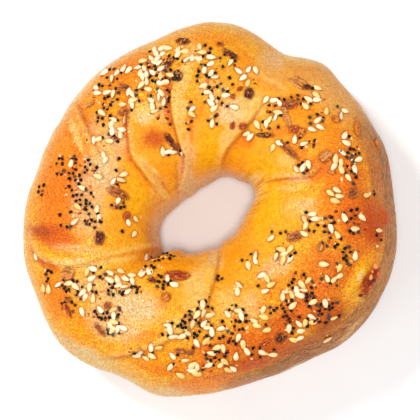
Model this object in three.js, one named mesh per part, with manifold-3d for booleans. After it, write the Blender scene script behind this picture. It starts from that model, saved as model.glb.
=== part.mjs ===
// A seeded bagel: one boiled and baked ring of dough, with sesame, poppy and dried onion baked into
// its top. Millimetres, +Z up, lying on z = 0 with the origin under the middle of its outline.

import * as THREE from 'three';
import { mergeVertices } from 'three/addons/utils/BufferGeometryUtils.js';
import Module from 'manifold-3d';

const wasm = await Module();
wasm.setup();

// Driving sizes of the ring
const RING_CENTRE = { x: -0.9, y: -2.2 };
const RIM_RADIUS = 58;
const HOLE = { long: 17.2, short: 8.9, turn: 37 };
const HEIGHT = 38;
const WIDEST_HEIGHT = 17;
const TOP_ROUNDNESS = 2.2;
const BASE_ROUNDNESS = 2.6;
const BASE_CUT = 1.2;

// Where the rim and the hole leave their plain outlines: at an angle, by so much, over a width
const RIM_LOBES = [
  { at: 19, out: 1.2, width: 8 },
  { at: 36, out: 1, width: 14 },
  { at: 51, out: 1.9, width: 7 },
  { at: 63, out: -2.4, width: 8 },
  { at: 86, out: 3.5, width: 13 },
  { at: 152, out: -2.6, width: 24 },
  { at: 167, out: -0.9, width: 7 },
  { at: 196, out: 1, width: 10 },
  { at: 221, out: 2.8, width: 13 },
  { at: 243, out: -0.9, width: 9 },
  { at: 256, out: 0.9, width: 7 },
  { at: 285, out: -3.8, width: 23 },
  { at: 305, out: -1.1, width: 8 },
  { at: 322, out: 0.6, width: 10 },
  { at: 340, out: 2.5, width: 24 },
];
const HOLE_LOBES = [
  { at: 15, out: 1.8, width: 16 },
  { at: 45, out: -1.5, width: 12 },
  { at: 72, out: 0.7, width: 10 },
  { at: 125, out: -0.7, width: 14 },
  { at: 185, out: 1.6, width: 20 },
  { at: 222.6, out: 3.5, width: 5.2 },
  { at: 236, out: -1.9, width: 8 },
  { at: 270, out: 1.9, width: 22 },
  { at: 291, out: 1.4, width: 9 },
  { at: 327, out: 2.6, width: 34 },
];
// Where the top stands lower than its full height
const TOP_DIPS = [
  { at: 62, out: -1.6, width: 20 },
  { at: 140, out: -1.2, width: 26 },
  { at: 292, out: -1.4, width: 24 },
];

// Folds where one sheet of dough lies over the next. Their routes, and the places of the toppings,
// are as seen from above and a little to the front right, so each is moved down that line of sight.
const SIGHT_LEAN = 0.15;
const FOLD_EDGE = 1.7;
const FOLD_STEPS = 24;
const ROUTE_TENSION = 0.5;
// Between these heights the folds fade out towards the base
const FOLDS_END = 3;
const FOLDS_FULL = 12;
const FOLDS = [
  { lip: 0.9, dip: 0.9, reach: 7, fade: 0.25,
    route: [[-26.5, 33], [-25, 24], [-24, 17], [-19, 9.5], [-13.5, 3]] },
  { lip: 1.1, dip: 1.0, reach: 6, fade: 0.15,
    route: [[-10, 41], [-11.6, 35], [-11, 28], [-9, 20], [-7.4, 14], [-9, 5]] },
  { lip: 0.8, dip: 0.6, reach: -4, fade: 0.2,
    route: [[-43, 37], [-39.5, 30], [-36.6, 23.5], [-32, 14]] },
  { lip: 2.0, dip: 1.8, reach: 7, fade: 0.08,
    route: [[-57, -6], [-51.5, -15], [-41, -17], [-30, -14.4], [-14, -12.2]] },
  { lip: 1.3, dip: 1.2, reach: 8, fade: 0.1,
    route: [[-35, -46.5], [-20, -43.4], [-12, -40], [-3, -34], [2, -22], [4, -10]] },
  { lip: 0.9, dip: 1.1, reach: 6, fade: 0.25,
    route: [[3.5, 9], [5.5, 17], [9, 21.5], [13.5, 27], [20, 36]] },
  { lip: 0.6, dip: 0.7, reach: 5, fade: 0.35,
    route: [[15, 7], [22.6, 8.4], [31, 8.9], [36.5, 14]] },
  { lip: 0.6, dip: 0.5, reach: 7, fade: 0.3,
    route: [[9, 42], [15, 39.6], [21, 36.7], [24, 32]] },
];

// Sizes of the toppings
const SESAME = {
  length: 2.8,
  width: 1.7,
  thick: 1.1,
  taper: 0.28,
  gap: 1.5,
  sunk: 0.05,
  sidesAround: 4,
  sidesAlong: 3,
  smallest: 0.88,
  spread: 0.24,
};
const POPPY = { width: 1.1, gap: 1.0, sunk: -0.08 };
const FLAKE = { thick: 1.1, sunk: 0.44, corners: 6, smallest: 0.86, spread: 0.28 };

// Poppy seeds are too small to show one by one from a step away, so only this share is made here
const FUSED_POPPY_SHARE = 0.12;

// How the places in a patch are drawn: tries for a free place, and reach past the patch's own size
const PLACE_TRIES = 14;
const PATCH_REACH = 1.15;
const PATCH_SEED = 7919;
const FLAKE_SEED = 4057;
const RANDOM_STEP = 48271;
const RANDOM_RANGE = 2147483647;

// Finding the dough under a line of sight: height to start at, rounds, and how near the rim it may go
const SIGHT_START = 34;
const SIGHT_ROUNDS = 8;
const SIGHT_LIMIT = 0.97;

// Patches of seeds: x, y, half width, half height, sesame seeds, poppy seeds
const SEED_PATCHES = [
  // top left
  [-15.3, 48.7, 3.2, 2.8, 9, 2],
  [-7.4, 47.8, 3, 2.2, 5, 3],
  [-18.9, 44.3, 2.8, 2.6, 6, 5],
  [-14.5, 41.5, 3.2, 3, 5, 9],
  [-25.1, 44.7, 2.2, 1.5, 2, 0],
  [-30, 42.6, 2.5, 2.2, 3, 5],
  [-20.4, 39.2, 3.5, 2.2, 4, 2],
  [-31.5, 37, 3.6, 3, 4, 6],
  [-24.7, 34, 3.4, 3, 5, 4],
  [-31.9, 33.2, 2.6, 1.8, 0, 5],
  [-14.8, 33.6, 3.2, 4.2, 6, 8],
  [-32.8, 29.8, 2.4, 3, 1, 7],
  [-28.1, 25.5, 3.4, 2.8, 6, 3],
  [-31.5, 22.1, 5, 1.4, 3, 2],
  [-30.6, 16.6, 3, 1.5, 2, 1],
  [-12.3, 26.8, 0.8, 0.8, 0, 1],
  [-5.5, 28.5, 1, 4, 2, 4],
  // left
  [-37.5, 13.8, 1.6, 2, 0, 5],
  [-46.6, 14.2, 2.2, 3, 0, 7],
  [-41.3, 15.3, 1.6, 2, 1, 4],
  [-41.5, 8.9, 2.2, 4.2, 0, 13],
  [-34.7, 11, 1.4, 2, 1, 2],
  [-27.6, 9.6, 2, 2.8, 3, 2],
  [-27.6, 1.6, 2, 1, 1, 5],
  [-51.9, 5.7, 1.8, 2.4, 0, 4],
  [-38.5, 3.4, 2.6, 3.2, 2, 10],
  [-11, 17.6, 3.2, 1, 4, 2],
  [-43.4, -3.1, 3.4, 3, 1, 5],
  [-35.5, -2.3, 2.4, 3.2, 2, 10],
  [-24.2, -5, 2.8, 2.8, 3, 1],
  // top
  [-1.1, 46.8, 2.4, 4, 6, 6],
  [-0.4, 40.4, 3, 2.6, 3, 6],
  [6, 46, 2.2, 2.8, 1, 5],
  [12.1, 40.9, 3, 3, 5, 0],
  [7.5, 37.5, 5, 2.2, 0, 5],
  [2.1, 34.5, 3.6, 2.8, 4, 6],
  [5.1, 31.3, 3.6, 1.2, 2, 2],
  [1.3, 26.8, 2, 1.6, 1, 3],
  // top right
  [20, 32.1, 2.4, 1.2, 3, 3],
  [18.7, 26.4, 3.4, 3.2, 5, 5],
  [11.9, 22.1, 1.8, 0.6, 2, 0],
  [21.3, 17.5, 1.6, 3, 2, 0],
  [28.5, 32, 5.4, 1.6, 3, 8],
  [32.5, 35, 2, 2, 2, 1],
  [37.9, 28.7, 4.2, 1.6, 3, 1],
  [33.2, 25, 2.4, 3, 3, 5],
  [28.5, 19.4, 3.8, 1.5, 2, 5],
  [29, 11.7, 2, 1.8, 3, 4],
  [42.2, 19.8, 1.4, 1.6, 2, 1],
  [44.3, 14.9, 2, 2.2, 1, 9],
  [40.9, 12.3, 2.6, 3.6, 5, 4],
  [44.7, 8.9, 2, 2.6, 2, 3],
  [38.3, 2.4, 1.4, 3, 4, 0],
  [49, 3, 3, 1, 1, 1],
  // lower left
  [-49.8, -19.7, 1.4, 1.4, 0, 4],
  [-50.2, -23.6, 0.9, 2, 2, 1],
  [-53.9, -14.2, 0.5, 0.5, 1, 0],
  [-34, -19.1, 3.6, 1.6, 4, 4],
  [-43, -22.7, 3, 1.8, 3, 10],
  [-36.6, -25.3, 3.8, 2.2, 4, 6],
  [-40.9, -29.5, 4, 2, 1, 5],
  [-26.4, -21.4, 4.2, 2.2, 7, 2],
  [-26.4, -24.6, 5.2, 1.4, 2, 12],
  [-17, -16.3, 3, 2, 1, 8],
  [-19.6, -19.3, 2.2, 1, 4, 2],
  [-14, -15, 3.4, 0.8, 0, 6],
  [-13.4, -22.3, 3, 2, 2, 9],
  [-30.6, -31.2, 3.6, 2, 3, 12],
  [-28.5, -35.5, 2.6, 2.4, 5, 6],
  // bottom
  [-10.6, -37.2, 3.2, 2.4, 4, 5],
  [-5.1, -35.5, 2.4, 4, 3, 15],
  [-1.2, -32.5, 2.6, 4, 5, 7],
  [-2.1, -40.2, 3.4, 2.6, 2, 4],
  [-18.7, -43.6, 4, 2.4, 6, 2],
  [-8.9, -47.4, 3, 3, 4, 2],
  [-3.8, -49.1, 2, 1.8, 4, 2],
  [0.5, -46.1, 1.6, 2, 2, 5],
  [2.8, -21.9, 1.4, 1, 0, 3],
  [7.9, -34.2, 3.4, 4, 3, 14],
  [9.4, -24.6, 1, 1, 2, 0],
  [2.1, -36.8, 3, 3.6, 2, 3],
  [2.1, -44.4, 3.2, 2, 2, 5],
  [8.1, -41.9, 2.6, 3, 3, 3],
  [5.4, -48.7, 4, 1.8, 4, 0],
  // lower right
  [15.3, -35.9, 2.4, 4, 4, 1],
  [17.4, -24, 3, 3, 4, 1],
  [18.3, -31.2, 2.4, 1.2, 1, 4],
  [14, -16.3, 3.4, 1.8, 3, 2],
  [15.7, -43.8, 4.4, 1.6, 3, 5],
  [26.4, -38, 2.2, 2.6, 4, 2],
  [24.7, -32.5, 2.6, 2.6, 1, 9],
  [23.4, -27.8, 2.2, 1.8, 3, 2],
  [29.4, -35.1, 2.4, 1.2, 3, 3],
  [28, -23.8, 3.6, 2.8, 5, 8],
  [30.7, -28.2, 1.4, 2.4, 1, 6],
  [37, -21, 3, 4, 5, 4],
  [35.5, -30.2, 3.4, 1.6, 1, 9],
  [33.5, -34, 3, 1.6, 1, 7],
  [39.2, -33, 1.4, 1.6, 1, 1],
  [36.4, -40.6, 0.6, 0.6, 1, 0],
  // right
  [42.4, -15, 2.2, 3, 1, 8],
  [37, -10.8, 3.2, 2, 1, 6],
  [23, -14.2, 3, 2.2, 6, 3],
  [21.3, -9.5, 2.4, 3, 1, 3],
  [29.8, -5.4, 3, 3, 5, 5],
  [36.2, -5.7, 1.8, 2.4, 1, 7],
  [43.6, -5, 3.2, 3.4, 3, 9],
  [52, -9.5, 0.8, 3, 1, 2],
];

// Flakes of dried onion and crust: x, y, angle, length, width
const FLAKES = [
  [-7.7, 52.2, -30, 4.4, 2.5],
  [-12.4, 45.2, 45, 4.3, 2.4],
  [-9.6, 41.1, 70, 3.6, 3],
  [-26.5, 38.3, -15, 2.9, 2],
  [-26.2, 30.4, -5, 3.4, 2.1],
  [-37, 33.3, 20, 3.4, 1.6],
  [-11.8, 21, -56, 5.2, 1.8],
  [-9.7, 18.8, 20, 2.6, 2],
  [-27.7, 5.1, -22, 6.4, 2.6],
  [6.9, 47.7, -37, 5.3, 2],
  [3.8, 50.9, -15, 2, 1.3],
  [12.6, 34.9, 80, 3.4, 2.8],
  [9.8, 36.4, 30, 2, 1.1],
  [7.9, 34.1, 75, 1.9, 1],
  [7.7, 25.3, 80, 2.4, 1.5],
  [10.9, 24.9, 10, 2.4, 2],
  [27, 37.5, -42, 4.5, 1.4],
  [28.7, 38.5, -42, 4.2, 1.4],
  [30.4, 36.4, 15, 2.6, 1.8],
  [25.1, 31.1, 5, 4.2, 2.9],
  [23.9, 27.3, -70, 8.2, 1.7],
  [26.6, 23.4, 20, 2.8, 2.2],
  [28.5, 22.3, 60, 2.6, 2.2],
  [17.4, 21.9, -5, 5.3, 1.6],
  [24.5, 17, -42, 7.4, 1.9],
  [35.6, 14.7, 35, 3.8, 3.2],
  [46, 23.4, 70, 5.2, 2.3],
  [39.2, 26.2, 10, 2.6, 2.1],
  [37.5, 10, -10, 2.6, 1.5],
  [52.2, 18.7, 80, 3, 1.8],
  [43.8, 3.5, 30, 3.4, 2.8],
  [-25.3, -2, 80, 2.6, 2.4],
  [-33.4, -8.6, 75, 4, 2.8],
  [-43.2, -19.3, 20, 3.8, 3.5],
  [-43, -27.1, 0, 2.4, 1.6],
  [-43, -30.6, -65, 4.6, 1.4],
  [-32.8, -36.5, -58, 4.8, 1.7],
  [-30.6, -29.1, 50, 2.4, 2],
  [-9.4, -20.8, 3, 6.8, 3.4],
  [-17, -21.8, -15, 2.8, 1.5],
  [-12.7, -27, 45, 2.8, 2.6],
  [-8.1, -43.3, -10, 3.6, 1.6],
  [-5.3, -43.8, 5, 2.4, 1.4],
  [26.4, -9.3, 15, 4.8, 2.4],
  [33.9, -12.7, 80, 2.6, 1.7],
  [21.9, -39.9, 60, 3.6, 3.1],
  [17.4, -41.2, 30, 3.4, 1.6],
];

// How finely the dough is faceted
const TURN_STEPS = 84;
const SECTION_STEPS = 20;

const DEGREE = Math.PI / 180;
// Points this close are one, and facets that lie this near a plane are joined
const SAME_POINT = 1e-4;
const FACET_TOLERANCE = 0.05;
const CRUST_COLOUR = 0xd9862f;
const CRUST_ROUGHNESS = 0.55;

// Random numbers between 0 and 1 that are the same each time
function randomFrom(seed) {
  let state = seed;
  return () => {
    state = (state * RANDOM_STEP) % RANDOM_RANGE;
    return state / RANDOM_RANGE;
  };
}

function smoothStep(low, high, value) {
  const share = Math.min(Math.max((value - low) / (high - low), 0), 1);
  return share * share * (3 - 2 * share);
}

function signedPower(value, power) {
  return Math.sign(value) * Math.abs(value) ** power;
}

// Sum of the lobes' bell curves at an angle in degrees
function lobesAt(lobes, angle) {
  let sum = 0;
  for (const lobe of lobes) {
    const away = ((((angle - lobe.at + 180) % 360) + 360) % 360) - 180;
    sum += lobe.out * Math.exp(-((away / lobe.width) ** 2));
  }
  return sum;
}

function rimRadius(angle) {
  return RIM_RADIUS + lobesAt(RIM_LOBES, angle);
}

function holeRadius(angle) {
  const away = (angle - HOLE.turn) * DEGREE;
  const oval = Math.hypot(HOLE.short * Math.cos(away), HOLE.long * Math.sin(away));
  return (HOLE.long * HOLE.short) / oval + lobesAt(HOLE_LOBES, angle);
}

// A fold's route as a smooth line of short straight pieces
function smoothRoute(route) {
  const points = route.map(([x, y]) => new THREE.Vector3(x, y, 0));
  return new THREE.CatmullRomCurve3(points, false, 'catmullrom', ROUTE_TENSION).getPoints(FOLD_STEPS);
}

const foldLines = FOLDS.map((fold) => ({ ...fold, line: smoothRoute(fold.route) }));

// How far a point lies from a fold's line, positive on its left, and how far along it
function beside(line, x, y) {
  let nearest = { distance: Infinity, along: 0 };
  for (let i = 0; i + 1 < line.length; i++) {
    const from = line[i];
    const runX = line[i + 1].x - from.x;
    const runY = line[i + 1].y - from.y;
    const share = ((x - from.x) * runX + (y - from.y) * runY) / (runX * runX + runY * runY);
    const held = Math.min(Math.max(share, 0), 1);
    const offX = x - from.x - held * runX;
    const offY = y - from.y - held * runY;
    const distance = Math.hypot(offX, offY);
    if (distance < Math.abs(nearest.distance)) {
      const side = runX * offY - runY * offX >= 0 ? 1 : -1;
      nearest = { distance: side * distance, along: (i + held) / (line.length - 1) };
    }
  }
  return nearest;
}

// Height of all folds over the plain skin, at a place as seen. A negative reach puts the lip on the
// other side.
function foldRelief(x, y) {
  let height = 0;
  for (const fold of foldLines) {
    const { distance, along } = beside(fold.line, x, y);
    const d = distance * Math.sign(fold.reach);
    const reach = Math.abs(fold.reach);
    const over = 0.5 * (1 + Math.tanh(d / FOLD_EDGE));
    const lip = fold.lip * over * Math.exp(-Math.max(d, 0) / reach);
    const dip = fold.dip * (1 - over) * Math.exp(Math.min(d, 0) / (0.5 * reach));
    const ends = smoothStep(0, fold.fade, along) * smoothStep(0, fold.fade, 1 - along);
    height += (lip - dip) * ends;
  }
  return height;
}

// A point of the dough: turn goes round the hole and lift round the section, from the rim at 0 over
// the top to the hole at 180 degrees
function doughPoint(turn, lift) {
  const rim = rimRadius(turn);
  const hole = holeRadius(turn);
  const half = (rim - hole) / 2;
  const sine = Math.sin(lift * DEGREE);
  const cosine = Math.cos(lift * DEGREE);
  const roundness = sine >= 0 ? TOP_ROUNDNESS : BASE_ROUNDNESS;
  const top = HEIGHT - WIDEST_HEIGHT + lobesAt(TOP_DIPS, turn);
  const tall = sine >= 0 ? top : WIDEST_HEIGHT + BASE_CUT;
  const across = signedPower(cosine, 2 / roundness);
  const up = signedPower(sine, 2 / roundness);
  const slopeOut = signedPower(across, roundness - 1) / half;
  const slopeUp = signedPower(up, roundness - 1) / tall;
  const slope = Math.hypot(slopeOut, slopeUp);

  const radius = (rim + hole) / 2 + half * across;
  const height = WIDEST_HEIGHT + tall * up;
  const outX = Math.cos(turn * DEGREE);
  const outY = Math.sin(turn * DEGREE);
  const x = RING_CENTRE.x + radius * outX;
  const y = RING_CENTRE.y + radius * outY;
  const lean = SIGHT_LEAN * (height - WIDEST_HEIGHT);
  const relief = foldRelief(x - lean, y + lean) * smoothStep(FOLDS_END, FOLDS_FULL, height);
  return new THREE.Vector3(
    x + (relief * slopeOut * outX) / slope,
    y + (relief * slopeOut * outY) / slope,
    Math.max(height + (relief * slopeUp) / slope, 0),
  );
}

// The dough's facets: a grid that closes on itself both ways
const grid = [];
for (let i = 0; i < TURN_STEPS; i++) {
  const turn = (360 * i) / TURN_STEPS;
  grid.push([]);
  for (let j = 0; j < SECTION_STEPS; j++) {
    grid[i].push(doughPoint(turn, (360 * j) / SECTION_STEPS));
  }
}

function corner(i, j) {
  return grid[(i + TURN_STEPS) % TURN_STEPS][(j + SECTION_STEPS) % SECTION_STEPS];
}

function doughGeometry() {
  const positions = grid.flat().flatMap((point) => point.toArray());
  const index = [];
  const name = (i, j) => (i % TURN_STEPS) * SECTION_STEPS + (j % SECTION_STEPS);
  for (let i = 0; i < TURN_STEPS; i++) {
    for (let j = 0; j < SECTION_STEPS; j++) {
      index.push(name(i, j), name(i + 1, j), name(i, j + 1));
      index.push(name(i + 1, j), name(i + 1, j + 1), name(i, j + 1));
    }
  }
  const geometry = new THREE.BufferGeometry();
  geometry.setAttribute('position', new THREE.Float32BufferAttribute(positions, 3));
  geometry.setIndex(index);
  return geometry;
}

// The place on the facets at a turn and a lift, with axes along the ring, across it and outwards
function placeOnFacets(turn, lift) {
  const column = (turn / 360) * TURN_STEPS;
  const row = (lift / 360) * SECTION_STEPS;
  const i = Math.floor(column);
  const j = Math.floor(row);
  const near = column - i + row - j <= 1;
  const base = near ? corner(i, j) : corner(i + 1, j + 1);
  const ahead = near ? corner(i + 1, j) : corner(i, j + 1);
  const beyond = near ? corner(i, j + 1) : corner(i + 1, j);
  const shareAhead = near ? column - i : i + 1 - column;
  const shareBeyond = near ? row - j : j + 1 - row;
  const first = new THREE.Vector3().subVectors(ahead, base);
  const second = new THREE.Vector3().subVectors(beyond, base);
  const outward = new THREE.Vector3().crossVectors(first, second).normalize();
  const point = base.clone().addScaledVector(first, shareAhead).addScaledVector(second, shareBeyond);
  return { point, outward };
}

// The turn and lift of the dough that is seen at x, y
function underSight(x, y) {
  let height = SIGHT_START;
  let turn = 0;
  let lift = 90;
  for (let round = 0; round < SIGHT_ROUNDS; round++) {
    const lean = SIGHT_LEAN * (height - WIDEST_HEIGHT);
    const offX = x + lean - RING_CENTRE.x;
    const offY = y - lean - RING_CENTRE.y;
    turn = (Math.atan2(offY, offX) / DEGREE + 360) % 360;
    const rim = rimRadius(turn);
    const hole = holeRadius(turn);
    const across = (Math.hypot(offX, offY) - (rim + hole) / 2) / ((rim - hole) / 2);
    const held = Math.min(Math.max(across, -SIGHT_LIMIT), SIGHT_LIMIT);
    lift = Math.acos(signedPower(held, TOP_ROUNDNESS / 2)) / DEGREE;
    const top = HEIGHT - WIDEST_HEIGHT + lobesAt(TOP_DIPS, turn);
    const up = Math.sin(lift * DEGREE) ** (2 / TOP_ROUNDNESS);
    height = (height + WIDEST_HEIGHT + top * up) / 2;
  }
  return { turn, lift };
}

// A closed mesh as a solid that can be joined
function solidFrom(geometry) {
  geometry.deleteAttribute('normal');
  geometry.deleteAttribute('uv');
  const merged = mergeVertices(geometry, SAME_POINT);
  return new wasm.Manifold(new wasm.Mesh({
    numProp: 3,
    vertProperties: new Float32Array(merged.attributes.position.array),
    triVerts: new Uint32Array(merged.index.array),
  }));
}

// Lays a topping on the dough: its length runs at an angle as seen, its thickness points outwards
function layOn(geometry, place, angle, sunk) {
  const length = new THREE.Vector3(Math.cos(angle * DEGREE), Math.sin(angle * DEGREE), 0);
  const width = new THREE.Vector3().crossVectors(place.outward, length).normalize();
  length.crossVectors(width, place.outward);
  const pose = new THREE.Matrix4().makeBasis(length, width, place.outward);
  pose.setPosition(place.point.clone().addScaledVector(place.outward, -sunk));
  return solidFrom(geometry.applyMatrix4(pose));
}

// A sesame seed, a drop with its point at the end of its length
function sesame(place, angle, size) {
  const geometry = new THREE.SphereGeometry(1, SESAME.sidesAround, SESAME.sidesAlong);
  geometry.rotateZ(-Math.PI / 2);
  const position = geometry.attributes.position;
  for (let i = 0; i < position.count; i++) {
    const slim = 1 - SESAME.taper * position.getX(i);
    position.setXYZ(i, position.getX(i), position.getY(i) * slim, position.getZ(i) * slim);
  }
  geometry.scale((SESAME.length * size) / 2, (SESAME.width * size) / 2, (SESAME.thick * size) / 2);
  return layOn(geometry, place, angle, SESAME.sunk);
}

function poppy(place) {
  const geometry = new THREE.OctahedronGeometry(POPPY.width / 2);
  return layOn(geometry, place, 0, POPPY.sunk);
}

// A flake, a thin plate with an uneven outline
function flake(place, angle, length, width, random) {
  const outline = [];
  for (let i = 0; i < FLAKE.corners; i++) {
    const around = (i / FLAKE.corners) * 2 * Math.PI;
    const reach = 0.5 * (FLAKE.smallest + FLAKE.spread * random());
    outline.push(new THREE.Vector2(length * reach * Math.cos(around), width * reach * Math.sin(around)));
  }
  const plate = { depth: FLAKE.thick, bevelEnabled: false };
  const geometry = new THREE.ExtrudeGeometry(new THREE.Shape(outline), plate);
  return layOn(geometry, place, angle, FLAKE.sunk);
}

// Draws a place in a patch that stays clear of the seeds drawn before, where a few tries find one
function drawPlace(patch, taken, gap, random) {
  const [middleX, middleY, halfWidth, halfHeight] = patch;
  let place = null;
  for (let attempt = 0; attempt < PLACE_TRIES; attempt++) {
    const angle = 2 * Math.PI * random();
    const reach = Math.sqrt(random()) * PATCH_REACH;
    place = {
      x: middleX + halfWidth * reach * Math.cos(angle),
      y: middleY + halfHeight * reach * Math.sin(angle),
      gap,
    };
    const apart = (other) => Math.hypot(place.x - other.x, place.y - other.y);
    if (taken.every((other) => apart(other) > (gap + other.gap) / 2)) {
      break;
    }
  }
  taken.push(place);
  return place;
}

function toppings() {
  const solids = [];
  const taken = [];
  const random = randomFrom(FLAKE_SEED);
  for (const [x, y, angle, length, width] of FLAKES) {
    const { turn, lift } = underSight(x, y);
    solids.push(flake(placeOnFacets(turn, lift), angle, length, width, random));
    taken.push({ x, y, gap: width });
  }
  SEED_PATCHES.forEach((patch, number) => {
    const [, , , , sesameSeeds, poppySeeds] = patch;
    const draw = randomFrom(PATCH_SEED * (number + 1));
    for (let i = 0; i < sesameSeeds; i++) {
      const { x, y } = drawPlace(patch, taken, SESAME.gap, draw);
      const angle = 360 * draw();
      const size = SESAME.smallest + SESAME.spread * draw();
      const { turn, lift } = underSight(x, y);
      solids.push(sesame(placeOnFacets(turn, lift), angle, size));
    }
    for (let i = 0; i < poppySeeds; i++) {
      const { x, y } = drawPlace(patch, taken, POPPY.gap, draw);
      const fused = draw() < FUSED_POPPY_SHARE;
      const { turn, lift } = underSight(x, y);
      if (fused) {
        solids.push(poppy(placeOnFacets(turn, lift)));
      }
    }
  });
  return solids;
}

// One closed solid of the dough and all that is baked into it
function seededDough() {
  const union = wasm.Manifold.union([solidFrom(doughGeometry()), ...toppings()]);
  const joined = union.asOriginal().simplify(FACET_TOLERANCE);
  const pieces = joined.decompose();
  const whole = pieces.reduce((best, piece) => (piece.volume() > best.volume() ? piece : best));
  const mesh = whole.getMesh();
  const geometry = new THREE.BufferGeometry();
  geometry.setAttribute('position', new THREE.BufferAttribute(mesh.vertProperties, 3));
  geometry.setIndex(new THREE.BufferAttribute(mesh.triVerts, 1));
  geometry.computeVertexNormals();
  return geometry;
}

const crust = new THREE.MeshStandardMaterial({
  color: CRUST_COLOUR,
  roughness: CRUST_ROUGHNESS,
  metalness: 0,
});
const bagel = new THREE.Mesh(seededDough(), crust);
bagel.name = 'bagel';

const model = new THREE.Group();
model.add(bagel);

export default model;
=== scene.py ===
"""A seeded bagel: a ring of baked dough with folds in its crust, strewn with sesame, poppy and dried
onion, on a pale floor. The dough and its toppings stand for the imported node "bagel"."""

import math

import bpy
import numpy as np
from mathutils import Matrix, Vector, noise
from mathutils.kdtree import KDTree


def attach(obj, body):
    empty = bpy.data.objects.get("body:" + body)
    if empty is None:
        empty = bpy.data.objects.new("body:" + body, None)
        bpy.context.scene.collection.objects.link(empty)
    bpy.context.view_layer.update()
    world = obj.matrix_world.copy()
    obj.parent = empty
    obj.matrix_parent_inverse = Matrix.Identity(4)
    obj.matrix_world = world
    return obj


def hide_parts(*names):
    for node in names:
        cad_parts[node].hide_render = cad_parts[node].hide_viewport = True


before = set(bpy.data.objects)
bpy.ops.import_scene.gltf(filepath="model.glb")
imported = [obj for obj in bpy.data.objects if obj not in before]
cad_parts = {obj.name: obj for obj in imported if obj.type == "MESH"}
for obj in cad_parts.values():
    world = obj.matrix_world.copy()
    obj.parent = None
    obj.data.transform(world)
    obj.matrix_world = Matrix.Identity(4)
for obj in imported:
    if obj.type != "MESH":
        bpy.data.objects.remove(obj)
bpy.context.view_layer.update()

# Lengths are in millimetres up to this scale
MM = 0.001

# The ring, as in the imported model. A place on it is told in degrees, by its turn round the hole and by its
# lift, from the outer side over the top.
RING_CENTRE = (-0.9, -2.2)
RIM_RADIUS = 58.0
HOLE_LONG, HOLE_SHORT, HOLE_TURN = 17.2, 8.9, 37
HEIGHT = 38.0
WIDEST_HEIGHT = 17.0
TOP_ROUNDNESS, BASE_ROUNDNESS = 2.2, 2.6
BASE_CUT = 1.2
# How far up and to the left a place is seen for each millimetre that it is higher
SIGHT_LEAN = 0.15

# Lobes: at an angle, out by, over a width
RIM_LOBES = [(19, 1.2, 8), (36, 1, 14), (51, 1.9, 7), (63, -2.4, 8), (86, 3.5, 13), (152, -2.6, 24),
             (167, -0.9, 7), (196, 1, 10), (221, 2.8, 13), (243, -0.9, 9), (256, 0.9, 7),
             (285, -3.8, 23), (305, -1.1, 8), (322, 0.6, 10), (340, 2.5, 24)]
HOLE_LOBES = [(15, 1.8, 16), (45, -1.5, 12), (72, 0.7, 10), (125, -0.7, 14), (185, 1.6, 20),
              (222.6, 3.5, 5.2), (236, -1.9, 8), (270, 1.9, 22), (291, 1.4, 9), (327, 2.6, 34)]
TOP_DIPS = [(62, -1.6, 20), (140, -1.2, 26), (292, -1.4, 24)]

# Folds of the crust: lip, dip, reach, share of the route that fades at its ends, edge, route
FOLDS = [
    (0.9, 0.9, 7, 0.25, 0.45, [(-26.5, 33), (-25, 24), (-24, 17), (-19, 9.5), (-13.5, 3)]),
    (1.1, 1.0, 6, 0.15, 0.4, [(-10, 41), (-11.6, 35), (-11, 28), (-9, 20), (-7.4, 14), (-9, 5)]),
    (0.8, 0.6, -4, 0.2, 0.5, [(-43, 37), (-39.5, 30), (-36.6, 23.5), (-32, 14)]),
    (1.1, 0.4, 7, 0.08, 0.6, [(-57, -6), (-51.5, -15), (-41, -17), (-30, -14.4), (-14, -12.2)]),
    (0.9, 0.7, 8, 0.1, 0.45, [(-35, -46.5), (-20, -43.4), (-12, -40), (-3, -34), (2, -22), (4, -10)]),
    (0.8, 0.8, 6, 0.25, 0.4, [(3.5, 9), (5.5, 17), (9, 21.5), (13.5, 27), (20, 36)]),
    (0.8, 0.8, 4, 0.3, 0.35, [(15, 7), (22.6, 8.4), (31, 8.9), (36.5, 14)]),
    (0.6, 0.5, 7, 0.3, 0.6, [(9, 42), (15, 39.6), (21, 36.7), (24, 32)]),
    # finer ones that only show in the surface
    (0.45, 0.3, 2.5, 0.3, 0.35, [(-24, 16), (-20, 11), (-14.5, 4.5)]),
    (0.5, 0.3, 3, 0.35, 0.4, [(-4.4, 30), (-4.6, 20), (-4.4, 7)]),
    (0.35, 0.3, 3, 0.4, 0.4, [(5.2, -24.5), (7, -26.5), (10, -29.5)]),
]
FOLD_STEPS = 24
# Swells of the dough as size, shift of the noise and height, and the heights of wrinkles and pleats
SWELLS = [(13.0, 0.0, 0.42), (5.0, 3.0, 0.16), (1.9, 9.0, 0.05)]
WRINKLE_HEIGHT, PLEAT_HEIGHT = 0.22, 0.55

# Paints of the crust, as 8-bit screen colours; cream and peach are partly painted highlight on the ring's
# crest
PAINTS = {
    "yellow": (253, 184, 30), "gold": (250, 170, 50), "amber": (253, 160, 12), "orange": (248, 142, 20),
    "flame": (243, 122, 18), "ember": (224, 100, 16), "rust": (202, 82, 14), "umber": (150, 66, 16),
    "cream": (254, 212, 146), "straw": (255, 206, 132), "peach": (250, 188, 116), "sand": (252, 197, 92),
    "tan": (240, 168, 88), "brown": (204, 130, 70), "dusk": (192, 106, 62), "bark": (255, 162, 90),
    "flank": (232, 150, 80), "blush": (252, 214, 164), "scorch": (124, 44, 16),
}

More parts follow.
